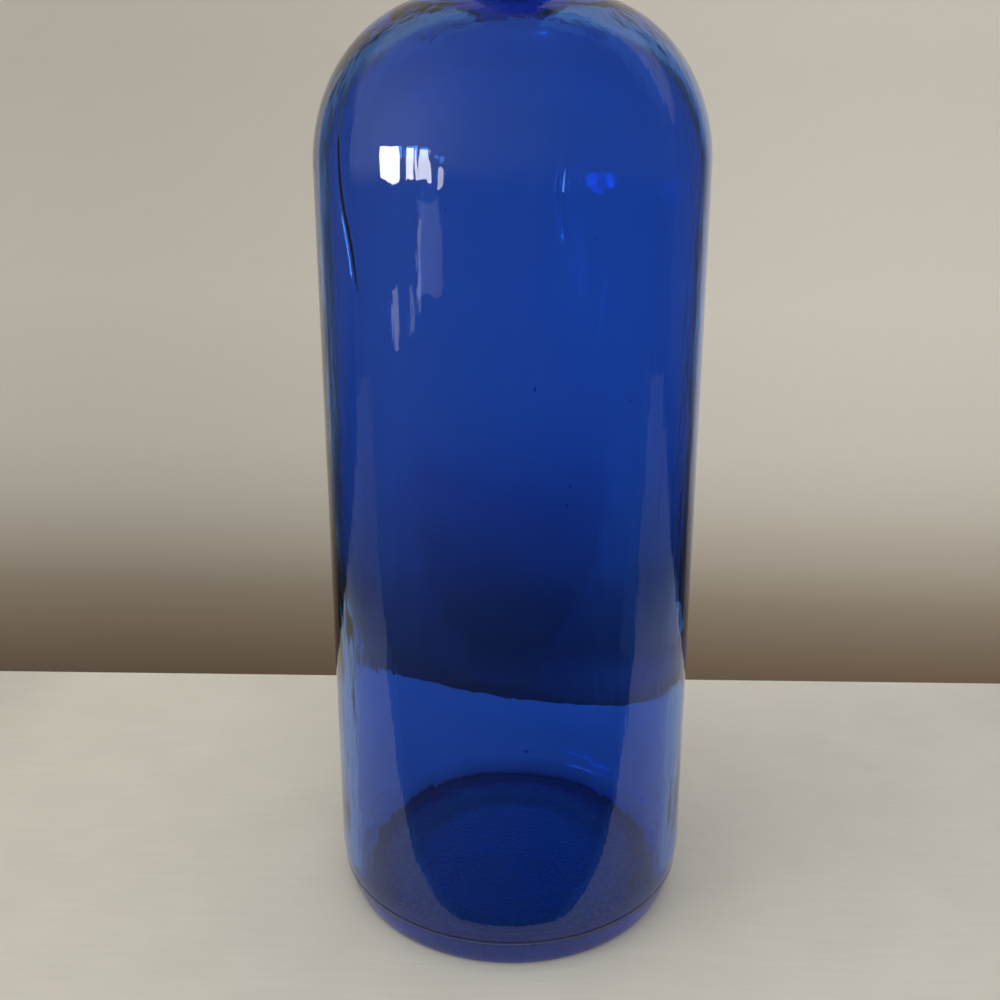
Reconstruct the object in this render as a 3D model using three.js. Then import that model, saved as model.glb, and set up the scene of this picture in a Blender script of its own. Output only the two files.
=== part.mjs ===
// Cobalt-blue glass bottle with a tapered cork stopper.
// Millimetres, +Z up. The origin is the centre of the resting ring, on the surface it stands on.
import * as THREE from "three";

// Overall sizes
const BODY_RADIUS = 40;
const TOTAL_HEIGHT = 296;
const WALL = 3.2;
const CROWN = 4.4;
const SEGMENTS = 48;

// Base: a shallow push-up inside a flat resting ring
const RING_INNER_RADIUS = 31;
const RING_OUTER_RADIUS = 36.4;
const PUSH_UP = 3.2;
const FLOOR_EDGE_RADIUS = 33.8;
const FLOOR_EDGE_HEIGHT = 4.4;
const FLOOR_CENTRE_HEIGHT = 6.2;

// Heel: the curve from the resting ring up to the straight barrel
const HEEL_HEIGHT = 12.4;
const HEEL_POWER = 1.29;
const INNER_HEEL_HEIGHT = 3;

// Shoulder: a quarter of an ellipse, stopped short and swept into the neck
const SHOULDER_START = 160.8;
const SHOULDER_RISE = 31.3;
const SHOULDER_INNER_AXIS = 13;
const SHOULDER_STOP = THREE.MathUtils.degToRad(70);
const INNER_SHOULDER_STOP = THREE.MathUtils.degToRad(79);

// Neck
const NECK_ROOT_RADIUS = 14.6;
const NECK_TOP_RADIUS = 13.9;
const BORE_RADIUS = 9.4;
const BORE_LENGTH = 45;
const THROAT_RADIUS = 12.6;

// Mouth: a rounded lip with a string rim just under it
const LIP_ROUND = 1.6;
const RIM_RADIUS = 16;
const RIM_HEIGHT = 6.5;
const RIM_DROP = 5;

// Cork stopper
const CORK_GAP = 0.3;
const CORK_DEPTH = 24;
const CORK_PROUD = 14;
const CORK_TAPER = 0.045;
const CORK_EDGE = 0.8;

// A half outline, walked as [radius, height] points.
class Outline {
  constructor() {
    this.points = [];
  }

  to(radius, height) {
    this.points.push(new THREE.Vector2(radius, height));
    return this;
  }

  // A stretch given by a formula: place(t) for t from 0 to 1.
  along(steps, place) {
    for (let i = 1; i <= steps; i += 1) {
      const [radius, height] = place(i / steps);
      this.to(radius, height);
    }
    return this;
  }

  // A circular arc around (cr, cz), from one angle to another, in radians.
  arc(cr, cz, size, from, to, steps) {
    return this.along(steps, (t) => {
      const angle = from + (to - from) * t;
      return [cr + size * Math.cos(angle), cz + size * Math.sin(angle)];
    });
  }
}

// The heel rises from its foot radius to the barrel, soft at the top and tight at the foot.
function heelPoint(t, foot, barrel, base, height) {
  const angle = (t * Math.PI) / 2;
  const across = Math.sin(angle) ** HEEL_POWER;
  const up = 1 - Math.cos(angle) ** HEEL_POWER;
  return [foot + (barrel - foot) * across, base + height * up];
}

// The shoulder's ellipse, moved in by the thickness of the wall and down by that of the crown.
function shoulderPoint(angle, wall, crown) {
  const across = BODY_RADIUS - SHOULDER_INNER_AXIS - wall;
  const up = SHOULDER_RISE - crown;
  return [SHOULDER_INNER_AXIS + across * Math.cos(angle), SHOULDER_START + up * Math.sin(angle)];
}

// The hollow curve that carries the shoulder into the neck: where it starts, its size and its centre.
function neckSweep(wall, crown, stop, neckRadius) {
  const [startRadius, startHeight] = shoulderPoint(stop, wall, crown);
  const across = (BODY_RADIUS - SHOULDER_INNER_AXIS - wall) * Math.sin(stop);
  const up = (SHOULDER_RISE - crown) * Math.cos(stop);
  const slope = Math.atan2(up, across);
  const size = (startRadius - neckRadius) / (1 - Math.sin(slope));
  const centreHeight = startHeight + size * Math.cos(slope);
  return { slope, size, centreRadius: neckRadius + size, centreHeight };
}

function outerWall(outline) {
  outline.to(0, PUSH_UP);
  outline.along(3, (t) => [RING_INNER_RADIUS * t, PUSH_UP * (1 - t * t)]);
  outline.to(RING_OUTER_RADIUS, 0);
  outline.along(6, (t) => heelPoint(t, RING_OUTER_RADIUS, BODY_RADIUS, 0, HEEL_HEIGHT));
  outline.to(BODY_RADIUS, SHOULDER_START);
  outline.along(9, (t) => shoulderPoint(SHOULDER_STOP * t, 0, 0));
  const sweep = neckSweep(0, 0, SHOULDER_STOP, NECK_ROOT_RADIUS);
  const start = -Math.PI / 2 - sweep.slope;
  outline.arc(sweep.centreRadius, sweep.centreHeight, sweep.size, start, -Math.PI, 4);
}

function mouth(outline) {
  const rimTop = TOTAL_HEIGHT - RIM_DROP;
  const rimRound = RIM_HEIGHT / 2;
  const rimMiddle = rimTop - rimRound;
  const rimCentre = RIM_RADIUS - rimRound;
  outline.to(NECK_TOP_RADIUS, rimMiddle - rimRound);
  outline.arc(rimCentre, rimMiddle, rimRound, -Math.PI / 3, Math.PI / 3, 4);
  outline.to(NECK_TOP_RADIUS, rimTop);
  const lipOuter = NECK_TOP_RADIUS - LIP_ROUND;
  const lipInner = BORE_RADIUS + LIP_ROUND;
  const lipHeight = TOTAL_HEIGHT - LIP_ROUND;
  outline.to(NECK_TOP_RADIUS, lipHeight);
  outline.arc(lipOuter, lipHeight, LIP_ROUND, 0, Math.PI / 2, 3);
  outline.arc(lipInner, lipHeight, LIP_ROUND, Math.PI / 2, Math.PI, 3);
}

function innerWall(outline) {
  const sweep = neckSweep(WALL, CROWN, INNER_SHOULDER_STOP, THROAT_RADIUS);
  outline.to(BORE_RADIUS, TOTAL_HEIGHT - BORE_LENGTH);
  outline.to(THROAT_RADIUS, sweep.centreHeight);
  const end = -Math.PI / 2 - sweep.slope;
  outline.arc(sweep.centreRadius, sweep.centreHeight, sweep.size, -Math.PI, end, 4);
  outline.along(8, (t) => shoulderPoint(INNER_SHOULDER_STOP * (1 - t), WALL, CROWN));
  const barrel = BODY_RADIUS - WALL;
  const top = FLOOR_EDGE_HEIGHT + INNER_HEEL_HEIGHT;
  outline.to(barrel, top);
  outline.along(5, (t) => heelPoint(1 - t, FLOOR_EDGE_RADIUS, barrel, FLOOR_EDGE_HEIGHT, INNER_HEEL_HEIGHT));
  const rise = FLOOR_CENTRE_HEIGHT - FLOOR_EDGE_HEIGHT;
  outline.along(3, (t) => [FLOOR_EDGE_RADIUS * (1 - t), FLOOR_EDGE_HEIGHT + rise * t * (2 - t)]);
}

function lathe(name, outline, material) {
  const geometry = new THREE.LatheGeometry(outline.points, SEGMENTS);
  geometry.rotateX(Math.PI / 2);
  const mesh = new THREE.Mesh(geometry, material);
  mesh.name = name;
  return mesh;
}

function glassBottle() {
  const outline = new Outline();
  outerWall(outline);
  mouth(outline);
  innerWall(outline);
  const glass = new THREE.MeshStandardMaterial({ color: 0x0f2f8c, roughness: 0.05, metalness: 0 });
  glass.transparent = true;
  glass.opacity = 0.6;
  return lathe("glass_bottle", outline, glass);
}

function corkRadius(height) {
  return BORE_RADIUS - CORK_GAP + (height - TOTAL_HEIGHT) * CORK_TAPER;
}

function corkStopper() {
  const low = TOTAL_HEIGHT - CORK_DEPTH;
  const high = TOTAL_HEIGHT + CORK_PROUD;
  const outline = new Outline();
  outline.to(0, low);
  outline.to(corkRadius(low) - CORK_EDGE, low);
  outline.to(corkRadius(low), low + CORK_EDGE);
  outline.to(corkRadius(high), high - CORK_EDGE);
  outline.to(corkRadius(high) - CORK_EDGE, high);
  outline.to(0, high);
  const cork = new THREE.MeshStandardMaterial({ color: 0xb98b5c, roughness: 0.85, metalness: 0 });
  return lathe("cork_stopper", outline, cork);
}

const bottle = new THREE.Group();
bottle.add(glassBottle());
bottle.add(corkStopper());

export default bottle;
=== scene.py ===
import math
import random

import bpy
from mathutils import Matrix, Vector, noise


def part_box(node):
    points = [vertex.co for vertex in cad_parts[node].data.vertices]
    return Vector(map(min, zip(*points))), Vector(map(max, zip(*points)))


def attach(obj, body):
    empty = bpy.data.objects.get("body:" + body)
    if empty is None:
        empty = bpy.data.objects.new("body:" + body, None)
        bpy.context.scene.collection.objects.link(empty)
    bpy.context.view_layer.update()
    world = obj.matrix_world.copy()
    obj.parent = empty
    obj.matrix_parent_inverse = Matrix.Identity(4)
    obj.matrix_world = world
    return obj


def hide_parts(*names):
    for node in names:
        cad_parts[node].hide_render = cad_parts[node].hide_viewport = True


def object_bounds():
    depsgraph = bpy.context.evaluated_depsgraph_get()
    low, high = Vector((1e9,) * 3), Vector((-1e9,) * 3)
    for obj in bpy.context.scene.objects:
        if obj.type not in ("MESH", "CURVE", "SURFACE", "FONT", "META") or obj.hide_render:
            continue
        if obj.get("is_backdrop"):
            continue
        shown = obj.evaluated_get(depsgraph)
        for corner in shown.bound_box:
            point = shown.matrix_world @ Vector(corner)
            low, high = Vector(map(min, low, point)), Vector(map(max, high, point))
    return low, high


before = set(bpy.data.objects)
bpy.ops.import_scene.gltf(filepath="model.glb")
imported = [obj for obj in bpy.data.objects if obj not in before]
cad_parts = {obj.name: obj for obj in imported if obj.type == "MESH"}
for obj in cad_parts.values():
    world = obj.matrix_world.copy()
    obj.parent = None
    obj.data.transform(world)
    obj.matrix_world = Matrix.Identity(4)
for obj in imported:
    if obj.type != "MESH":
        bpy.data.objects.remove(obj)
cad_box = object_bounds()
random.seed(11)

MM = 0.001

# The glass, on the CAD model's own sizes
GLASS_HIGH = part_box("glass_bottle")[1]
BODY_RADIUS = GLASS_HIGH.x
TOTAL_HEIGHT = GLASS_HIGH.z
WALL = 3.2 * MM
CROWN = 4.4 * MM
RING_INNER_RADIUS = 31 * MM
RING_OUTER_RADIUS = 36.4 * MM
PUSH_UP = 3.2 * MM
FLOOR_EDGE_RADIUS = 33.8 * MM
FLOOR_EDGE_HEIGHT = 4.4 * MM
FLOOR_CENTRE_HEIGHT = 6.2 * MM
HEEL_HEIGHT = 12.4 * MM
HEEL_POWER = 1.29
INNER_HEEL_HEIGHT = 3.0 * MM
SHOULDER_START = 160.8 * MM
SHOULDER_RISE = 31.3 * MM
SHOULDER_INNER_AXIS = 13 * MM
SHOULDER_STOP = math.radians(70)
INNER_SHOULDER_STOP = math.radians(79)
NECK_ROOT_RADIUS = 14.6 * MM
NECK_TOP_RADIUS = 13.9 * MM
BORE_RADIUS = 9.4 * MM
BORE_LENGTH = 45 * MM
THROAT_RADIUS = 12.6 * MM
LIP_ROUND = 1.6 * MM
RIM_RADIUS = 16 * MM
RIM_HEIGHT = 6.5 * MM
RIM_DROP = 5 * MM
RIM_CORNER = 0.4 * MM
RING_CORNER = 0.6 * MM

# The proud line round the heel, and the scuffed underside
MOULD_RING_HEIGHT = 7.2 * MM
MOULD_RING_SIZE = 0.18 * MM
MOULD_RING_WIDTH = 0.35 * MM
WORN_RADIUS = 34.2 * MM
WORN_RADIUS_EDGE = 0.3 * MM
WORN_HEIGHT = 3.5 * MM
WORN_HEIGHT_EDGE = 0.2 * MM

# The ripple of the outer skin, with the most of it at the back
OUTER_BROAD_SIZE = 0.04 * MM
OUTER_BROAD_BACK = 0.03 * MM
OUTER_FINE_SIZE = 0.006 * MM

# The uneven thickness of the wall: slow swells, quicker ones and upright cords
INNER_SLOW_SIZE = 0.35 * MM
INNER_FAST_SIZE = 0.06 * MM
INNER_CORD_SIZE = 0.03 * MM

# Where the ripples die away: above the base and below the neck
FADE_LOW = 12 * MM
FADE_LOW_REACH = 20 * MM
FADE_HIGH = SHOULDER_START + 28 * MM
FADE_HIGH_REACH = 30 * MM

# The pools of glass in the floor's corners
SWELL_SIZE = 5.5 * MM
SWELL_TURN = math.radians(68)
SWELL_SPREAD = math.radians(19)
SWELL_HEIGHT = 7.5 * MM
SWELL_EDGE_POWER = 4

# The long crease in the left of the wall
LONG_CREASE_TURN = math.radians(-52.4)
LONG_CREASE_HEIGHT = 150 * MM
LONG_CREASE_REACH = 17 * MM
LONG_CREASE_LEAN = 5.2
LEAN_REACH = 22 * MM
LONG_CREASE_SIZE = 0.2 * MM
LONG_CREASE_WIDTH = 0.9 * MM

# The short crease right of the front
SHORT_CREASE_TURN = math.radians(13.6)
SHORT_CREASE_HEIGHT = 154.2 * MM
SHORT_CREASE_HALF_LENGTH = 7 * MM
SHORT_CREASE_PEAK = 160 * MM
SHORT_CREASE_REACH = 23 * MM
SHORT_CREASE_LEAST = 0.2
SHORT_CREASE_END_POWER = 8
SHORT_CREASE_SIZE = 0.4 * MM
SHORT_CREASE_WIDTH = 0.7 * MM

# How the creases wander, and how far round the mesh bends to follow them
SWAY = 0.011
SWAY_LENGTH = 5.2 * MM
FINE_SWAY = 0.005
FINE_SWAY_LENGTH = 2.3 * MM
CREASE_SPREAD = 0.35

# The settle wave in the lower wall
WAVE_HEIGHT = 58.5 * MM
WAVE_TILT = 5.8 * MM
WAVE_WIDTH = 13 * MM
WAVE_TAIL = 100 * MM
WAVE_SIZE = 1.4 * MM
WAVE_TURN = math.radians(35)
WAVE_SIDE_FADE = 1.6
WAVE_WOBBLE = 0.6 * MM
WAVE_WOBBLE_RATE = 6
WAVE_FINE_WOBBLE = 0.35 * MM
WAVE_FINE_WOBBLE_RATE = 22

# The cork
CORK_LOW, CORK_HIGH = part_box("cork_stopper")
CORK_TAPER = 0.045
CORK_EDGE = 0.8 * MM
CORK_ROUGHNESS = 0.05 * MM
CORK_ROUGH_LENGTH = 0.8 * MM
CORK_CRUMBLE = 0.12 * MM
CORK_CRUMBLE_LENGTH = 1.6 * MM

# Mesh steps
GLASS_SEGMENTS = 420
GLASS_STEP = 1.6 * MM
PUSH_UP_STEPS = 30
HEEL_STEPS = 60
SHOULDER_STEPS = 44
NECK_STEPS = 24
RIM_STEPS = 24
LIP_STEPS = 10
INNER_HEEL_STEPS = 30
FLOOR_STEPS = 24
CREASE_LINES = 11
CREASE_LINE_REACH = 2.2
SEED_RINGS = 10
SEED_SIDES = 12
SEED_COUNT = 26
CORK_SEGMENTS = 210
CORK_STEP = 0.32 * MM
CORK_SIDE_PITS = 150
CORK_END_PITS = 44

# Camera: the photograph's viewing place and angle
CAMERA_DISTANCE = 0.2142
CAMERA_HEIGHT = 0.1496
CAMERA_PITCH = math.radians(15.25)
CAMERA_YAW = math.radians(0.66)
CAMERA_LENS = 36
SENSOR_WIDTH = 36

# The shelf board that stands for the floor, with a contact shadow painted on it under the bottle
SHELF_FRONT = -0.052
SHELF_BACK = 0.1025
SHELF_HALF_WIDTH = 0.9
SHELF_THICKNESS = 0.022
SHELF_TURN = math.radians(-1.0)
SHELF_DROP = 0.0002
CONTACT_SHADOW_OUTER_RADIUS = 36.4 * MM
CONTACT_SHADOW_INNER_RADIUS = 30.2 * MM
CONTACT_SHADOW_EDGE = 1.0 * MM
CONTACT_SHADOW_RING_TONE = 0.3
CONTACT_SHADOW_DISC_TONE = 0.75

# The glow that the base throws on the board
GLOW_RADIUS = 28 * MM
GLOW_HEIGHT = 0.5 * MM
GLOW_BRIGHTNESS = 0.2

# The wall behind
WALL_DISTANCE = 0.62
WALL_HALF_WIDTH = 3.0
WALL_BOTTOM = -1.2
WALL_TOP = 2.2
WALL_SHADE_REACH = 0.3
WALL_SHADE_TILT = 0.03

# The room: the direction of its window in degrees, and its lamps
WINDOW_AZIMUTH = 66
WINDOW_ELEVATION = 15
LAMP_DISTANCE = 3.0
LAMP_AIM_HEIGHT = 0.155


# ---------------------------------------------------------------- outlines

def heel_point(t, foot, barrel, base, height):
    """The heel rises from its foot radius to the barrel, soft at the top and tight at the foot."""
    angle = t * math.pi / 2
    across = math.sin(angle) ** HEEL_POWER
    up = 1 - math.cos(angle) ** HEEL_POWER
    return foot + (barrel - foot) * across, base + height * up


def shoulder_point(angle, wall, crown):
    """The shoulder's ellipse, moved in by the thickness of the wall and down by that of the crown."""
    across = BODY_RADIUS - SHOULDER_INNER_AXIS - wall
    up = SHOULDER_RISE - crown
    return SHOULDER_INNER_AXIS + across * math.cos(angle), SHOULDER_START + up * math.sin(angle)


def neck_sweep(wall, crown, stop, neck_radius):
    """The hollow curve from the shoulder into the neck: its start slope, size and centre."""
    start_radius, start_height = shoulder_point(stop, wall, crown)
    across = (BODY_RADIUS - SHOULDER_INNER_AXIS - wall) * math.sin(stop)
    up = (SHOULDER_RISE - crown) * math.cos(stop)
    slope = math.atan2(up, across)
    size = (start_radius - neck_radius) / (1 - math.sin(slope))
    return slope, size, neck_radius + size, start_height + size * math.cos(slope)


class Outline:
    """A half outline, walked as (radius, height) points; each remembers which skin it is on."""

    def __init__(self):
        self.points = []
        self.skin = "outer"

    def to(self, radius, height):
        """One more point."""
        self.points.append((max(radius, 0.0), height, self.skin))

    def line(self, radius, height, step):
        """A straight stretch, cut into pieces of about one step each."""
        last_radius, last_height, _ = self.points[-1]
        steps = max(1, round(math.hypot(radius - last_radius, height - last_height) / step))
        for i in range(1, steps + 1):
            t = i / steps
            self.to(last_radius + (radius - last_radius) * t, last_height + (height - last_height) * t)

    def along(self, steps, place):
        """A stretch given by a formula: place(t) for t from 0 to 1."""
        for i in range(1, steps + 1):
            self.to(*place(i / steps))

    def arc(self, centre_radius, centre_height, size, start, end, steps):
        """Part of a circle, from one angle to another."""
        def place(t):
            angle = start + (end - start) * t
            return centre_radius + size * math.cos(angle), centre_height + size * math.sin(angle)
        self.along(steps, place)


def outer_wall(outline):
    """From the middle of the push-up, over the resting ring, up the barrel and into the neck."""
    outline.to(0, PUSH_UP)
    outline.along(PUSH_UP_STEPS, lambda t: (RING_INNER_RADIUS * t, PUSH_UP * (1 - t * t)))
    outline.line(RING_OUTER_RADIUS - RING_CORNER, 0, GLASS_STEP / 2)
    outline.along(HEEL_STEPS, lambda t: heel_point(t, RING_OUTER_RADIUS, BODY_RADIUS, 0, HEEL_HEIGHT))
    outline.line(BODY_RADIUS, SHOULDER_START, GLASS_STEP)
    outline.along(SHOULDER_STEPS, lambda t: shoulder_point(SHOULDER_STOP * t, 0, 0))
    slope, size, centre_radius, centre_height = neck_sweep(0, 0, SHOULDER_STOP, NECK_ROOT_RADIUS)
    outline.arc(centre_radius, centre_height, size, -math.pi / 2 - slope, -math.pi, NECK_STEPS)


def mouth(outline):
    """The string rim and the rounded lip, down into the bore."""
    rim_top = TOTAL_HEIGHT - RIM_DROP
    rim_round = RIM_HEIGHT / 2
    rim_middle = rim_top - rim_round
    outline.line(NECK_TOP_RADIUS, rim_middle - rim_round - RIM_CORNER, GLASS_STEP * 2)
    outline.arc(RIM_RADIUS - rim_round, rim_middle, rim_round, -math.pi / 3, math.pi / 3, RIM_STEPS)
    outline.line(NECK_TOP_RADIUS, rim_top + RIM_CORNER, GLASS_STEP / 2)
    lip_height = TOTAL_HEIGHT - LIP_ROUND
    outline.line(NECK_TOP_RADIUS, lip_height, GLASS_STEP)
    outline.arc(NECK_TOP_RADIUS - LIP_ROUND, lip_height, LIP_ROUND, 0, math.pi / 2, LIP_STEPS)
    outline.skin = "inner"
    outline.arc(BORE_RADIUS + LIP_ROUND, lip_height, LIP_ROUND, math.pi / 2, math.pi, LIP_STEPS)


def inner_wall(outline):
    """Down the bore, out under the shoulder, down the barrel and over the floor to its middle."""
    slope, size, centre_radius, centre_height = neck_sweep(WALL, CROWN, INNER_SHOULDER_STOP, THROAT_RADIUS)
    outline.line(BORE_RADIUS, TOTAL_HEIGHT - BORE_LENGTH, GLASS_STEP * 2)
    outline.line(THROAT_RADIUS, centre_height, GLASS_STEP * 2)
    outline.arc(centre_radius, centre_height, size, -math.pi, -math.pi / 2 - slope, NECK_STEPS)
    outline.along(SHOULDER_STEPS, lambda t: shoulder_point(INNER_SHOULDER_STOP * (1 - t), WALL, CROWN))
    barrel = BODY_RADIUS - WALL
    outline.line(barrel, FLOOR_EDGE_HEIGHT + INNER_HEEL_HEIGHT, GLASS_STEP)
    outline.along(
        INNER_HEEL_STEPS,
        lambda t: heel_point(1 - t, FLOOR_EDGE_RADIUS, barrel, FLOOR_EDGE_HEIGHT, INNER_HEEL_HEIGHT),
    )
    rise = FLOOR_CENTRE_HEIGHT - FLOOR_EDGE_HEIGHT
    outline.along(
        FLOOR_STEPS,
        lambda t: (FLOOR_EDGE_RADIUS * (1 - t), FLOOR_EDGE_HEIGHT + rise * t * (2 - t)),
    )


# ---------------------------------------------------------------- glass

def bell(x, centre, width):
    """One at the centre, dying away smoothly over the width."""
    return math.exp(-((x - centre) / width) ** 2)


def mould_ring(height):
    """The fine proud line that the base plate of the mould leaves round the heel."""
    return MOULD_RING_SIZE * bell(height, MOULD_RING_HEIGHT, MOULD_RING_WIDTH)


def wall_noise(direction, height, around, length, shift=0):
    """Noise on the wall: how quickly it changes round the bottle, and its length up the bottle."""
    return noise.noise(Vector((direction.x * around + shift, direction.y * around, height / length)))


def outer_ripple(direction, height):
    """How far the outer skin lies inside its true outline: the faint ripple of moulded glass."""
    broad = wall_noise(direction, height, around=5, length=9 * MM)
    fine = wall_noise(direction, height, around=16, length=14 * MM, shift=3)
    size = OUTER_BROAD_SIZE + OUTER_BROAD_BACK * direction.y
    return size * (1 + broad) + OUTER_FINE_SIZE * (1 + fine)


def settle_wave(direction, height):
    """The step in thickness round the lower wall, where the glass sagged before it was blown out."""
    if direction.y > 0:
        return 0
    turn = math.atan2(direction.x, -direction.y)
    wobble = WAVE_WOBBLE * noise.noise(direction * WAVE_WOBBLE_RATE)
    wobble += WAVE_FINE_WOBBLE * noise.noise(direction * WAVE_FINE_WOBBLE_RATE)
    foot = WAVE_HEIGHT - WAVE_TILT * math.sin(turn) + wobble
    step = (height - foot) / WAVE_WIDTH
    if step <= 0:
        return 0
    rise = step * step * (3 - 2 * step) if step < 1 else math.exp(-(step - 1) * WAVE_WIDTH / WAVE_TAIL)
    return WAVE_SIZE * math.sin(turn + WAVE_TURN) * min(1, WAVE_SIDE_FADE * math.cos(turn)) * rise


def heel_swell(direction, height):
    """Glass that pooled in the two rear corners of the floor."""
    from_back = math.atan2(abs(direction.x), direction.y)
    return SWELL_SIZE * bell(from_back, SWELL_TURN, SWELL_SPREAD) * bell(height, 0, SWELL_HEIGHT)


def crease_sway(height):
    """How far the creases wander to the side, as an angle."""
    return SWAY * math.sin(height / SWAY_LENGTH) + FINE_SWAY * math.sin(height / FINE_SWAY_LENGTH)


def creased_turn(turn, height):
    """Bends the mesh's upright lines near a crease so that they follow it."""
    lean = -LONG_CREASE_LEAN * LEAN_REACH * math.tanh((height - LONG_CREASE_HEIGHT) / LEAN_REACH)
    long_one = (crease_sway(height) + lean) * bell(turn, LONG_CREASE_TURN, CREASE_SPREAD)
    short_one = crease_sway(height) * bell(turn, SHORT_CREASE_TURN, CREASE_SPREAD)
    return turn + long_one + short_one


def creases(turn, height):
    """The height of the two creases on the inside, where the hot glass folded."""
    long_one = bell(BODY_RADIUS * (turn - LONG_CREASE_TURN), 0, LONG_CREASE_WIDTH)
    long_one *= bell(height, LONG_CREASE_HEIGHT, LONG_CREASE_REACH)
    taper = max(SHORT_CREASE_LEAST, 1 - ((height - SHORT_CREASE_PEAK) / SHORT_CREASE_REACH) ** 2)
    short_one = taper * bell(BODY_RADIUS * (turn - SHORT_CREASE_TURN), 0, taper * SHORT_CREASE_WIDTH)
    from_middle = (height - SHORT_CREASE_HEIGHT) / SHORT_CREASE_HALF_LENGTH
    short_one *= math.exp(-from_middle ** SHORT_CREASE_END_POWER)
    return LONG_CREASE_SIZE * long_one + SHORT_CREASE_SIZE * short_one


def inner_ripple(direction, height):
    """How far the inner skin moves inwards: the uneven thickness of blown glass."""
    slow = wall_noise(direction, height, around=1.1, length=45 * MM, shift=40.8)
    fast = wall_noise(direction, height, around=4, length=14 * MM, shift=7)
    cords = wall_noise(direction, height, around=11, length=60 * MM, shift=2)
    uneven = INNER_SLOW_SIZE * slow + INNER_FAST_SIZE * fast + INNER_CORD_SIZE * cords
    return uneven + settle_wave(direction, height)


def fade(height):
    """Ripples die away towards the base and the neck."""
    low = min(max((height - FADE_LOW) / FADE_LOW_REACH, 0), 1)
    high = min(max((FADE_HIGH - height) / FADE_HIGH_REACH, 0), 1)
    return low * high


def facing(turn):
    """The level direction at this turn from the front, positive towards the right."""
    return Vector((math.sin(turn), -math.cos(turn), 0))


def glass_vertex(point, turn):
    """Where a point of the outline goes at this turn, with the glass's unevenness added."""
    radius, height, skin = point
    if radius < 1e-9:
        return (0, 0, height)
    direction = facing(creased_turn(turn, height))
    if skin == "outer":
        radius += mould_ring(height) if radius > RING_OUTER_RADIUS else 0
        radius = min(radius, BODY_RADIUS) - fade(height) * outer_ripple(direction, height)
    else:
        radius -= fade(height) * (inner_ripple(direction, height) + creases(turn, height))
        radius -= heel_swell(direction, height) * (radius / BODY_RADIUS) ** SWELL_EDGE_POWER
    return (radius * direction.x, radius * direction.y, height)


def glass_turns():
    """Even turns round the axis, and closer ones across each crease."""
    turns = [math.tau * i / GLASS_SEGMENTS - math.pi for i in range(GLASS_SEGMENTS)]
    for centre, width in ((LONG_CREASE_TURN, LONG_CREASE_WIDTH), (SHORT_CREASE_TURN, SHORT_CREASE_WIDTH)):
        reach = CREASE_LINE_REACH * width / BODY_RADIUS
        turns = [turn for turn in turns if abs(turn - centre) > reach]
        turns.extend(centre + reach * i / CREASE_LINES for i in range(-CREASE_LINES, CREASE_LINES + 1))
    return sorted(turns)


def spin(points, turns, place):
    """Turns an outline that starts and ends on the axis into a closed, outward-facing mesh."""
    segments = len(turns)
    rings = points[1:-1]
    vertices = [place(points[0], turns[0])]
    for point in rings:
        vertices.extend(place(point, turn) for turn in turns)
    vertices.append(place(points[-1], turns[0]))
    faces = []
    for i in range(segments):
        j = (i + 1) % segments
        faces.append((0, 1 + j, 1 + i))
        for k in range(len(rings) - 1):
            low = 1 + k * segments
            high = low + segments
            faces.append((low + i, low + j, high + j, high + i))
        last = 1 + (len(rings) - 1) * segments
        faces.append((last + i, last + j, len(vertices) - 1))
    return vertices, faces


def mesh_object(name, vertices, faces):
    """A smooth-shaded object in the scene."""
    mesh = bpy.data.meshes.new(name)
    mesh.from_pydata(vertices, [], faces)
    mesh.update()
    mesh.shade_smooth()
    piece = bpy.data.objects.new(name, mesh)
    bpy.context.scene.collection.objects.link(piece)
    return piece


def seed_bubble(turn, height, depth, size, length):
    """A gas bubble drawn out in the glass: a small closed shell that faces inwards."""
    radius = BODY_RADIUS - depth
    vertices = []
    for ring in range(1, SEED_RINGS):
        along = math.pi * ring / SEED_RINGS
        up = -length * math.cos(along)
        across = size * math.sin(along)
        for side in range(SEED_SIDES):
            around = math.tau * side / SEED_SIDES
            angle = turn + across * math.cos(around) / radius
            out = radius + across * math.sin(around)
            vertices.append((out * math.sin(angle), -out * math.cos(angle), height + up))
    last = len(vertices)
    vertices.append((radius * math.sin(turn), -radius * math.cos(turn), height - length))
    vertices.append((radius * math.sin(turn), -radius * math.cos(turn), height + length))
    faces = []
    for side in range(SEED_SIDES):
        after = (side + 1) % SEED_SIDES
        faces.append((last, side, after))
        for ring in range(SEED_RINGS - 2):
            low = ring * SEED_SIDES
            high = low + SEED_SIDES
            faces.append((low + side, high + side, high + after, low + after))
        top = (SEED_RINGS - 2) * SEED_SIDES
        faces.append((last + 1, top + after, top + side))
    return vertices, faces


def placed_bubble(degrees, height, depth, size, length):
    """A bubble by its turn from the front, with its sizes in millimetres."""
    return seed_bubble(math.radians(degrees), height * MM, depth * MM, size * MM, length * MM)


def seeds():
    """A few placed gas bubbles and a scatter of tiny ones."""
    found = [
        placed_bubble(degrees=6.1, height=122, depth=1.2, size=0.2, length=0.45),
        placed_bubble(degrees=16, height=104, depth=1.5, size=0.16, length=0.4),
        placed_bubble(degrees=15, height=100.5, depth=1.0, size=0.18, length=0.35),
        placed_bubble(degrees=4.6, height=51, depth=1.6, size=0.42, length=0.3),
        placed_bubble(degrees=-16, height=26, depth=1.4, size=0.16, length=0.2),
    ]
    for _ in range(SEED_COUNT):
        size = random.uniform(0.08, 0.2) * MM
        found.append(seed_bubble(
            turn=random.uniform(-math.pi, math.pi),
            height=random.uniform(22, 158) * MM,
            depth=random.uniform(0.9, 2.0) * MM,
            size=size,
            length=size * random.uniform(1, 2.5),
        ))
    return found


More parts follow.
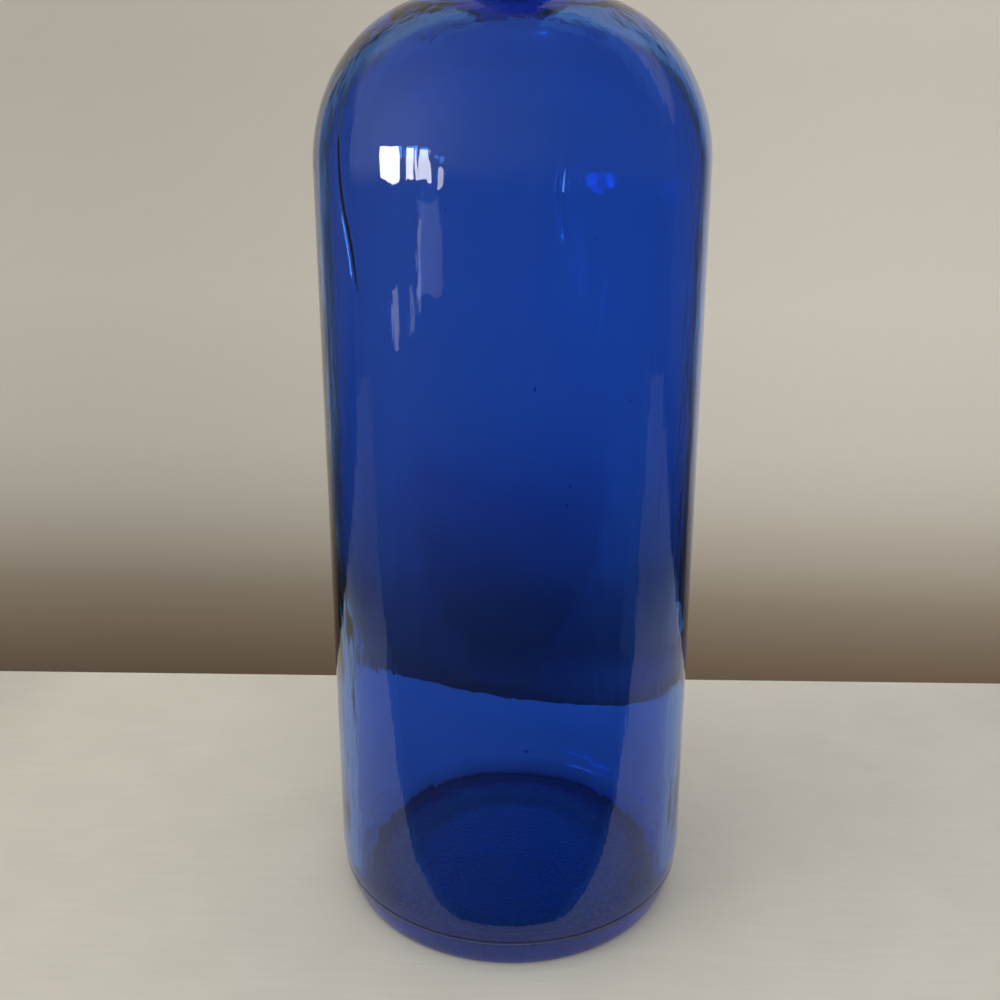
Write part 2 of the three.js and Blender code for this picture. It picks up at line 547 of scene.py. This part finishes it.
def blown_glass():
    """The whole bottle and the bubbles in its wall, as one mesh."""
    outline = Outline()
    outer_wall(outline)
    mouth(outline)
    inner_wall(outline)
    vertices, faces = spin(outline.points, glass_turns(), glass_vertex)
    for seed_vertices, seed_faces in seeds():
        first = len(vertices)
        vertices.extend(seed_vertices)
        faces.extend(tuple(first + corner for corner in face) for face in seed_faces)
    return mesh_object("blown_glass", vertices, faces)


# ---------------------------------------------------------------- cork

def cork_point_radius(height):
    """The tapered cork's radius at a height."""
    top = (CORK_HIGH.x - CORK_LOW.x) / 2
    return top + (height - CORK_HIGH.z + CORK_EDGE) * CORK_TAPER


def cork_outline():
    """The cork's half outline, with its edges cut off at a slant."""
    low = CORK_LOW.z
    high = CORK_HIGH.z
    outline = Outline()
    outline.to(0, low)
    outline.line(cork_point_radius(low) - CORK_EDGE, low, CORK_STEP)
    outline.line(cork_point_radius(low), low + CORK_EDGE, CORK_STEP / 2)
    outline.line(cork_point_radius(high - CORK_EDGE), high - CORK_EDGE, CORK_STEP)
    outline.line(cork_point_radius(high) - CORK_EDGE, high, CORK_STEP / 2)
    outline.line(0, high, CORK_STEP)
    return outline


def cork_pits():
    """The pores of the bark: a place in the cork, a reach across and along, and a depth for each."""
    low = CORK_LOW.z
    high = CORK_HIGH.z
    pits = []
    for _ in range(CORK_SIDE_PITS):
        turn = random.uniform(-math.pi, math.pi)
        height = random.uniform(low, high)
        spot = facing(turn) * cork_point_radius(height) + Vector((0, 0, height))
        long = random.uniform(0.5, 1.7) * MM
        pits.append((spot, random.uniform(0.25, 0.5) * MM, long, random.uniform(0.2, 0.6) * MM))
    for _ in range(CORK_END_PITS):
        spot = facing(random.uniform(-math.pi, math.pi)) * random.uniform(0, 9.5) * MM
        spot.z = random.choice((low, high))
        wide = random.uniform(0.25, 0.6) * MM
        pits.append((spot, wide, wide, random.uniform(0.2, 0.5) * MM))
    return pits


def pit_depth(pits, spot):
    """How deep the deepest pore is at a spot on the cork."""
    depth = 0
    for centre, wide, long, deep in pits:
        away = spot - centre
        if abs(away.z) < 3 * long and abs(away.x) < 3 * wide and abs(away.y) < 3 * wide:
            reach = (away.x ** 2 + away.y ** 2) / wide ** 2 + away.z ** 2 / long ** 2
            depth = max(depth, deep * math.exp(-reach))
    return depth


def natural_cork():
    """A tapered cork with a rough cut skin, open pores and slightly crumbled edges."""
    pits = cork_pits()
    low = CORK_LOW.z
    high = CORK_HIGH.z

    def place(point, turn):
        radius, height, _ = point
        spot = facing(turn) * radius + Vector((0, 0, height))
        rough = CORK_ROUGHNESS * (1 + noise.noise(spot / CORK_ROUGH_LENGTH)) + pit_depth(pits, spot)
        crumble = CORK_CRUMBLE * (1 + noise.noise(spot / CORK_CRUMBLE_LENGTH))
        on_end = height < low + CORK_EDGE / 4 or height > high - CORK_EDGE / 4
        if on_end and radius > 0:
            height += rough if height < (low + high) / 2 else -rough
        if radius > cork_point_radius(height) - CORK_EDGE / 2:
            at_edge = bell(height, low, CORK_EDGE) + bell(height, high, CORK_EDGE)
            radius -= rough + crumble * at_edge
        return (radius * math.sin(turn), -radius * math.cos(turn), height)

    turns = [math.tau * i / CORK_SEGMENTS - math.pi for i in range(CORK_SEGMENTS)]
    vertices, faces = spin(cork_outline().points, turns, place)
    return mesh_object("natural_cork", vertices, faces)


# ---------------------------------------------------------------- shader parts

def material(name):
    """A new material, with its nodes, its links and its Principled shader."""
    made = bpy.data.materials.new(name)
    made.use_nodes = True
    nodes = made.node_tree.nodes
    return made, nodes, made.node_tree.links, nodes["Principled BSDF"]


def step_up(nodes, links, value, low, high, out_low=0.0, out_high=1.0):
    """A smooth step from out_low to out_high as the value goes from low to high."""
    step = nodes.new("ShaderNodeMapRange")
    step.interpolation_type = "SMOOTHSTEP"
    step.inputs["From Min"].default_value = low
    step.inputs["From Max"].default_value = high
    step.inputs["To Min"].default_value = out_low
    step.inputs["To Max"].default_value = out_high
    links.new(value, step.inputs["Value"])
    return step.outputs["Result"]


def share(nodes, links, value, low, high):
    """How far the value has come from low to high, in a straight line."""
    part = nodes.new("ShaderNodeMapRange")
    part.inputs["From Min"].default_value = low
    part.inputs["From Max"].default_value = high
    links.new(value, part.inputs["Value"])
    return part.outputs["Result"]


def calculate(nodes, links, operation, first, second=0.0, third=0.0):
    """One step of arithmetic; each value is a number or another node's output."""
    node = nodes.new("ShaderNodeMath")
    node.operation = operation
    for socket, value in zip(node.inputs, (first, second, third)):
        if isinstance(value, (int, float)):
            socket.default_value = value
        else:
            links.new(value, socket)
    return node.outputs["Value"]


def product(nodes, links, *values):
    """All the values multiplied together."""
    result = values[0]
    for value in values[1:]:
        result = calculate(nodes, links, "MULTIPLY", result, value)
    return result


def total(nodes, links, first, second):
    """The two values added together."""
    return calculate(nodes, links, "ADD", first, second)


def colour_ramp(nodes, links, value, stops):
    """Colours by value; the stops are (value, colour) and the value runs from 0 to 1."""
    ramp = nodes.new("ShaderNodeValToRGB")
    marks = ramp.color_ramp.elements
    while len(marks) < len(stops):
        marks.new(0.5)
    for mark, (place, colour) in zip(marks, stops):
        mark.position = place
        mark.color = (*colour, 1)
    links.new(value, ramp.inputs["Fac"])
    return ramp.outputs["Color"]


def scaled(nodes, links, colour, factor):
    """A colour made lighter or darker by a factor."""
    node = nodes.new("ShaderNodeVectorMath")
    node.operation = "SCALE"
    links.new(colour, node.inputs[0])
    links.new(factor, node.inputs["Scale"])
    return node.outputs["Vector"]


def object_place(nodes):
    """The place on the object, in its own metres."""
    return nodes.new("ShaderNodeTexCoord").outputs["Object"]


def object_axes(nodes, links):
    """The place on the object, as separate X, Y and Z."""
    split = nodes.new("ShaderNodeSeparateXYZ")
    links.new(object_place(nodes), split.inputs["Vector"])
    return split.outputs["X"], split.outputs["Y"], split.outputs["Z"]


def noise_texture(nodes, links, scale, detail, roughness, stretch=(1, 1, 1)):
    """Cloudy noise from 0 to 1 in the object's own metres, stretched where a factor is under 1."""
    mapping = nodes.new("ShaderNodeMapping")
    mapping.inputs["Scale"].default_value = stretch
    links.new(object_place(nodes), mapping.inputs["Vector"])
    texture = nodes.new("ShaderNodeTexNoise")
    texture.inputs["Scale"].default_value = scale
    texture.inputs["Detail"].default_value = detail
    texture.inputs["Roughness"].default_value = roughness
    links.new(mapping.outputs["Vector"], texture.inputs["Vector"])
    return texture.outputs["Fac"]


def bump(nodes, links, height, distance):
    """A surface direction tilted by a relief; one unit of height stands for the distance."""
    node = nodes.new("ShaderNodeBump")
    node.inputs["Distance"].default_value = distance
    links.new(height, node.inputs["Height"])
    return node.outputs["Normal"]


def distance_from_axis(nodes, links, x, y):
    """How far a place is from the bottle's upright axis."""
    squares = total(nodes, links, product(nodes, links, x, x), product(nodes, links, y, y))
    return calculate(nodes, links, "SQRT", squares)


def distance_from_middle(nodes, links, value):
    """How far a value is from zero, on either side."""
    return calculate(nodes, links, "ABSOLUTE", value)


# ---------------------------------------------------------------- materials

def worn_underside(nodes, links):
    """One on the scuffed underside, as far out as the standing ring, and zero elsewhere."""
    x, y, z = object_axes(nodes, links)
    radius = distance_from_axis(nodes, links, x, y)
    inner = WORN_RADIUS - WORN_RADIUS_EDGE
    lower = WORN_HEIGHT - WORN_HEIGHT_EDGE
    within = step_up(nodes, links, radius, inner, WORN_RADIUS, out_low=1, out_high=0)
    below = step_up(nodes, links, z, lower, WORN_HEIGHT, out_low=1, out_high=0)
    return product(nodes, links, within, below)


def glass_skin(nodes, links):
    """The height of the glass's fine relief, in millimetres."""
    waves = noise_texture(nodes, links, scale=200, detail=2, roughness=0.5, stretch=(1, 1, 0.35))
    cords = noise_texture(nodes, links, scale=620, detail=2, roughness=0.5, stretch=(1, 1, 0.12))
    pitting = noise_texture(nodes, links, scale=3000, detail=1, roughness=0.5)
    skin = total(nodes, links, product(nodes, links, waves, 0.07), product(nodes, links, cords, 0.03))
    return total(nodes, links, skin, product(nodes, links, pitting, 0.5, worn_underside(nodes, links)))


def cobalt_glass():
    """Deep blue glass, clear through; a bump gives its skin's waviness and its scuffed underside."""
    made, nodes, links, shader = material("cobalt_glass")
    shader.inputs["Base Color"].default_value = (0.155, 0.345, 0.89, 1)
    shader.inputs["Transmission Weight"].default_value = 1
    shader.inputs["Roughness"].default_value = 0.0
    shader.inputs["IOR"].default_value = 1.52
    links.new(bump(nodes, links, glass_skin(nodes, links), MM), shader.inputs["Normal"])
    volume = nodes.new("ShaderNodeVolumeAbsorption")
    volume.inputs["Color"].default_value = (0.0, 0.6, 0.94, 1)
    volume.inputs["Density"].default_value = 70
    links.new(volume.outputs["Volume"], nodes["Material Output"].inputs["Volume"])
    return made


def cork_material():
    """Pale tan cork with darker growth bands, brown pores and fine grain."""
    made, nodes, links, shader = material("cork")
    bands = noise_texture(nodes, links, scale=260, detail=3, roughness=0.6, stretch=(1, 0.35, 1))
    grain = noise_texture(nodes, links, scale=1900, detail=4, roughness=0.7)
    pores = noise_texture(nodes, links, scale=620, detail=2, roughness=0.5, stretch=(1, 1, 0.45))
    tone = colour_ramp(nodes, links, bands, [
        (0.30, (0.36, 0.20, 0.095)),
        (0.48, (0.50, 0.31, 0.165)),
        (0.70, (0.60, 0.41, 0.24)),
    ])
    speckle = step_up(nodes, links, grain, 0.35, 0.62, out_low=0.72, out_high=1.08)
    open_pore = step_up(nodes, links, pores, 0.60, 0.70, out_low=1.0, out_high=0.30)
    shade = product(nodes, links, speckle, open_pore)
    links.new(scaled(nodes, links, tone, shade), shader.inputs["Base Color"])
    dullness = step_up(nodes, links, grain, 0.3, 0.7, out_low=0.95, out_high=0.75)
    links.new(dullness, shader.inputs["Roughness"])
    links.new(bump(nodes, links, shade, 0.12 * MM), shader.inputs["Normal"])
    return made


def painted_contact_shadow(nodes, links, x, y):
    """Painted contact shadow on the board under the bottle: dark under its standing ring, less dark on the
    disc inside it.
    """
    radius = distance_from_axis(nodes, links, x, y)
    # Painted shade: the dark ring under the standing ring, then a lighter shade on the disc inside it.
    disc = step_up(
        nodes, links, radius, CONTACT_SHADOW_OUTER_RADIUS - CONTACT_SHADOW_EDGE, CONTACT_SHADOW_OUTER_RADIUS,
        out_low=CONTACT_SHADOW_RING_TONE, out_high=1.0,
    )
    inside = step_up(
        nodes, links, radius, CONTACT_SHADOW_INNER_RADIUS - CONTACT_SHADOW_EDGE, CONTACT_SHADOW_INNER_RADIUS,
        out_low=CONTACT_SHADOW_DISC_TONE / CONTACT_SHADOW_RING_TONE, out_high=1.0,
    )
    return product(nodes, links, disc, inside)


def paint_tone(nodes, links, brush):
    """The small differences in the shelf paint: brush lines, mottle and a few dark specks."""
    mottle = noise_texture(nodes, links, scale=45, detail=3, roughness=0.5)
    flecks = nodes.new("ShaderNodeTexVoronoi")
    flecks.inputs["Scale"].default_value = 17
    links.new(object_place(nodes), flecks.inputs["Vector"])
    return product(
        nodes, links,
        step_up(nodes, links, brush, 0.3, 0.7, out_low=0.985, out_high=1.015),
        step_up(nodes, links, mottle, 0.3, 0.7, out_low=0.98, out_high=1.02),
        step_up(nodes, links, flecks.outputs["Distance"], 0.008, 0.016, out_low=0.4, out_high=1.0),
    )


def shelf_paint():
    """White paint over wood; it falls into shade out to the sides."""
    made, nodes, links, shader = material("pale_floor")
    x, y, _ = object_axes(nodes, links)
    paint = colour_ramp(nodes, links, step_up(nodes, links, x, -0.3, 0.3), [
        (0, (0.73, 0.695, 0.60)),
        (1, (0.735, 0.705, 0.635)),
    ])
    brush = noise_texture(nodes, links, scale=700, detail=3, roughness=0.6, stretch=(0.08, 1, 1))
    out = distance_from_middle(nodes, links, x)
    dimming = step_up(nodes, links, out, 0.13, 0.28, out_low=1.0, out_high=0.40)
    # Painted shade: darker out to the sides, and a painted contact shadow under the bottle.
    shade = product(nodes, links, dimming, painted_contact_shadow(nodes, links, x, y))
    tone = product(nodes, links, paint_tone(nodes, links, brush), shade)
    links.new(scaled(nodes, links, paint, tone), shader.inputs["Base Color"])
    links.new(bump(nodes, links, brush, 0.06 * MM), shader.inputs["Normal"])
    shader.inputs["Roughness"].default_value = 0.6
    shader.inputs["Specular IOR Level"].default_value = 0.2
    return made


def multiplied(nodes, links, colour, tint, amount):
    """A colour multiplied by a tint, by an amount from 0 to 1."""
    node = nodes.new("ShaderNodeMix")
    node.data_type = "RGBA"
    node.blend_type = "MULTIPLY"
    factor = node.inputs[0]
    first, second = (socket for socket in node.inputs if socket.type == "RGBA")
    links.new(amount, factor)
    links.new(colour, first)
    second.default_value = (*tint, 1)
    return next(socket for socket in node.outputs if socket.type == "RGBA")


def bottle_shade(nodes, links, paint, x, z):
    """The soft shade that the bottle throws on the wall behind it, as a change to the paint."""
    out = distance_from_middle(nodes, links, x)
    near = step_up(nodes, links, out, 0.07, 0.17, out_low=1.0, out_high=0.0)
    low = step_up(nodes, links, z, -0.09, 0.03, out_low=1.0, out_high=0.0)
    return multiplied(nodes, links, paint, (0.74, 0.66, 0.80), product(nodes, links, near, low))


def side_shade(nodes, links, x, z):
    """The wall grows lighter to the right; far out on both sides it is dark, up to about a metre."""
    side = step_up(nodes, links, x, -0.4, 0.4, out_low=0.90, out_high=1.28)
    out = step_up(nodes, links, distance_from_middle(nodes, links, x), 0.43, 0.66)
    low = step_up(nodes, links, z, 0.8, 1.3, out_low=1.0, out_high=0.0)
    dark = step_up(nodes, links, product(nodes, links, out, low), 0.0, 1.0, out_low=1.0, out_high=0.2)
    return product(nodes, links, side, dark)


def wall_paint():
    """Cream wall paint with an orange-peel skin; it falls into warm shade low down."""
    made, nodes, links, shader = material("wall_paint")
    x, _, z = object_axes(nodes, links)
    tilted = calculate(nodes, links, "MULTIPLY_ADD", x, WALL_SHADE_TILT, z)
    height = share(nodes, links, tilted, -WALL_SHADE_REACH, WALL_SHADE_REACH)
    paint = colour_ramp(nodes, links, height, [
        (0.08, (0.185, 0.128, 0.082)),
        (0.13, (0.255, 0.182, 0.118)),
        (0.22, (0.40, 0.325, 0.24)),
        (0.28, (0.56, 0.49, 0.395)),
        (0.37, (0.69, 0.635, 0.54)),
        (0.45, (0.77, 0.715, 0.62)),
        (0.65, (0.82, 0.76, 0.665)),
        (0.95, (0.74, 0.68, 0.59)),
    ])
    tinted = bottle_shade(nodes, links, paint, x, z)
    links.new(scaled(nodes, links, tinted, side_shade(nodes, links, x, z)), shader.inputs["Base Color"])
    skin = noise_texture(nodes, links, scale=85, detail=3, roughness=0.55)
    links.new(bump(nodes, links, skin, 0.35 * MM), shader.inputs["Normal"])
    shader.inputs["Roughness"].default_value = 0.9
    return made


# ---------------------------------------------------------------- stage, light and camera

def box_object(name, low, high):
    """A plain box between two opposite corners."""
    x = (low[0], high[0])
    y = (low[1], high[1])
    z = (low[2], high[2])
    vertices = [(x[i & 1], y[i >> 1 & 1], z[i >> 2]) for i in range(8)]
    faces = [(0, 2, 3, 1), (4, 5, 7, 6), (0, 1, 5, 4), (2, 6, 7, 3), (0, 4, 6, 2), (1, 3, 7, 5)]
    piece = mesh_object(name, vertices, faces)
    piece.data.shade_flat()
    return piece


def shelf():
    """The white board under the bottle."""
    board = box_object(
        "shelf_floor",
        (-SHELF_HALF_WIDTH, SHELF_FRONT, -SHELF_DROP - SHELF_THICKNESS),
        (SHELF_HALF_WIDTH, SHELF_BACK, -SHELF_DROP),
    )
    board.rotation_euler.z = SHELF_TURN
    board.data.materials.append(shelf_paint())
    board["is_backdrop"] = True


def backdrop():
    """The wall, as one upright sheet that faces the camera."""
    sheet = mesh_object(
        "backdrop",
        [
            (-WALL_HALF_WIDTH, WALL_DISTANCE, WALL_BOTTOM),
            (WALL_HALF_WIDTH, WALL_DISTANCE, WALL_BOTTOM),
            (WALL_HALF_WIDTH, WALL_DISTANCE, WALL_TOP),
            (-WALL_HALF_WIDTH, WALL_DISTANCE, WALL_TOP),
        ],
        [(0, 1, 2, 3)],
    )
    sheet.data.materials.append(wall_paint())
    sheet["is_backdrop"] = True


def direction(azimuth, elevation):
    """A unit vector away from the bottle, in degrees; azimuth starts at the camera's side, left positive."""
    turn = math.radians(azimuth)
    climb = math.radians(elevation)
    return Vector((
        -math.sin(turn) * math.cos(climb),
        -math.cos(turn) * math.cos(climb),
        math.sin(climb),
    ))


def world_light():
    """A dim room, brightest round its window and dark below the level of the sill."""
    world = bpy.data.worlds.new("studio")
    bpy.context.scene.world = world
    world.use_nodes = True
    nodes = world.node_tree.nodes
    links = world.node_tree.links
    background = nodes["Background"]
    coordinates = nodes.new("ShaderNodeTexCoord")
    split = nodes.new("ShaderNodeSeparateXYZ")
    links.new(coordinates.outputs["Generated"], split.inputs["Vector"])
    towards = nodes.new("ShaderNodeVectorMath")
    towards.operation = "DOT_PRODUCT"
    towards.inputs[1].default_value = direction(WINDOW_AZIMUTH, WINDOW_ELEVATION)
    links.new(coordinates.outputs["Generated"], towards.inputs[0])
    nearness = share(nodes, links, towards.outputs["Value"], -1, 1)
    room = colour_ramp(nodes, links, nearness, [
        (0.0, (0.06, 0.06, 0.062)),
        (0.41, (0.06, 0.06, 0.062)),
        (0.587, (0.10, 0.10, 0.102)),
        (0.75, (0.135, 0.134, 0.132)),
        (0.883, (0.20, 0.198, 0.192)),
        (0.96, (0.30, 0.295, 0.28)),
        (0.995, (0.40, 0.395, 0.38)),
    ])
    above_sill = step_up(nodes, links, split.outputs["Z"], 0.03, 0.06, out_low=0.3, out_high=1.0)
    links.new(scaled(nodes, links, room, above_sill), background.inputs["Color"])
    background.inputs["Strength"].default_value = 2.0


def add_lamp(name, light):
    """Puts a light into the scene."""
    lamp = bpy.data.objects.new(name, light)
    bpy.context.scene.collection.objects.link(lamp)
    return lamp


def area_light(name, azimuth, elevation, width, height, brightness):
    """A distant panel that faces the bottle; all its angles are in degrees."""
    light = bpy.data.lights.new(name, "AREA")
    light.shape = "RECTANGLE"
    light.size = LAMP_DISTANCE * math.tan(math.radians(width))
    light.size_y = LAMP_DISTANCE * math.tan(math.radians(height))
    light.energy = brightness * math.pi * light.size * light.size_y
    lamp = add_lamp(name, light)
    away = direction(azimuth, elevation)
    lamp.location = Vector((0, 0, LAMP_AIM_HEIGHT)) + away * LAMP_DISTANCE
    lamp.rotation_euler = away.to_track_quat("Z", "Y").to_euler()
    return lamp


def hide_reflection(lamp):
    """The lamp lights the scene but isn't seen in the glass."""
    lamp.visible_glossy = False
    lamp.visible_transmission = False


def window():
    """Three panes, and under them the sill and the gaps in the curtain."""
    area_light("window_left_pane", azimuth=69.5, elevation=6.0, width=12, height=7.2, brightness=20)
    area_light("window_middle_pane", azimuth=57, elevation=5.8, width=7, height=6.8, brightness=17)
    area_light("window_right_pane", azimuth=48, elevation=5.4, width=7.4, height=6.0, brightness=13)
    area_light("window_edge", azimuth=38.3, elevation=2.5, width=3.8, height=1.4, brightness=8)
    area_light("sill_glow", azimuth=46, elevation=-1.5, width=13, height=5, brightness=0.6)
    area_light("curtain_gap_left", azimuth=69, elevation=-5.2, width=2.6, height=3.4, brightness=2.0)
    area_light("curtain_gap_middle", azimuth=58, elevation=-4.6, width=1.6, height=3.2, brightness=1.2)
    area_light("curtain_gap_right", azimuth=51.5, elevation=-2.6, width=1.8, height=5, brightness=1.5)


def soft_light():
    """The ceiling as a soft stack of round panels, and a fill from the front right."""
    for width in (30, 45, 58, 68, 75):
        ceiling = area_light("ceiling", azimuth=0, elevation=90, width=width, height=width, brightness=0.5)
        ceiling.data.shape = "DISK"
        hide_reflection(ceiling)
    hide_reflection(area_light("fill", azimuth=-10, elevation=38, width=30, height=20, brightness=2.1))


def glow_below():
    """Light that the base gathers and throws on the board beneath it."""
    light = bpy.data.lights.new("glow_below", "AREA")
    light.shape = "DISK"
    light.size = 2 * GLOW_RADIUS
    light.energy = GLOW_BRIGHTNESS * math.pi * light.size * light.size
    light.color = (0.02, 1.0, 0.2)
    lamp = add_lamp("glow_below", light)
    lamp.location = (0, 0, GLOW_HEIGHT)
    lamp.visible_camera = False
    hide_reflection(lamp)


def camera():
    """The camera, at the photograph's place and angle."""
    data = bpy.data.cameras.new("camera")
    data.lens = CAMERA_LENS
    data.sensor_width = SENSOR_WIDTH
    data.clip_start = 0.01
    eye = bpy.data.objects.new("camera", data)
    eye.location = (0, -CAMERA_DISTANCE, CAMERA_HEIGHT)
    eye.rotation_euler = (math.pi / 2 - CAMERA_PITCH, 0, CAMERA_YAW)
    bpy.context.scene.collection.objects.link(eye)
    bpy.context.scene.camera = eye


def look():
    """Plain colours, and enough bounces for light to get through both walls of the bottle."""
    scene = bpy.context.scene
    scene.view_settings.view_transform = "Standard"
    scene.cycles.max_bounces = 24
    scene.cycles.transmission_bounces = 20
    scene.cycles.transparent_max_bounces = 16
    scene.cycles.glossy_bounces = 12


def write_sizes():
    """Works out the size of the CAD model and that of the finished pieces, as plain lists."""
    boxes = {"cad": cad_box, "visual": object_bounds()}
    plain = {name: [list(corner) for corner in box] for name, box in boxes.items()}


camera()
look()
world_light()
window()
soft_light()
glow_below()
shelf()
backdrop()

glass = blown_glass()
glass.data.materials.append(cobalt_glass())
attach(glass, "bottle")
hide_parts("glass_bottle")

cork = natural_cork()
cork.data.materials.append(cork_material())
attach(cork, "stopper")
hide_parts("cork_stopper")

write_sizes()
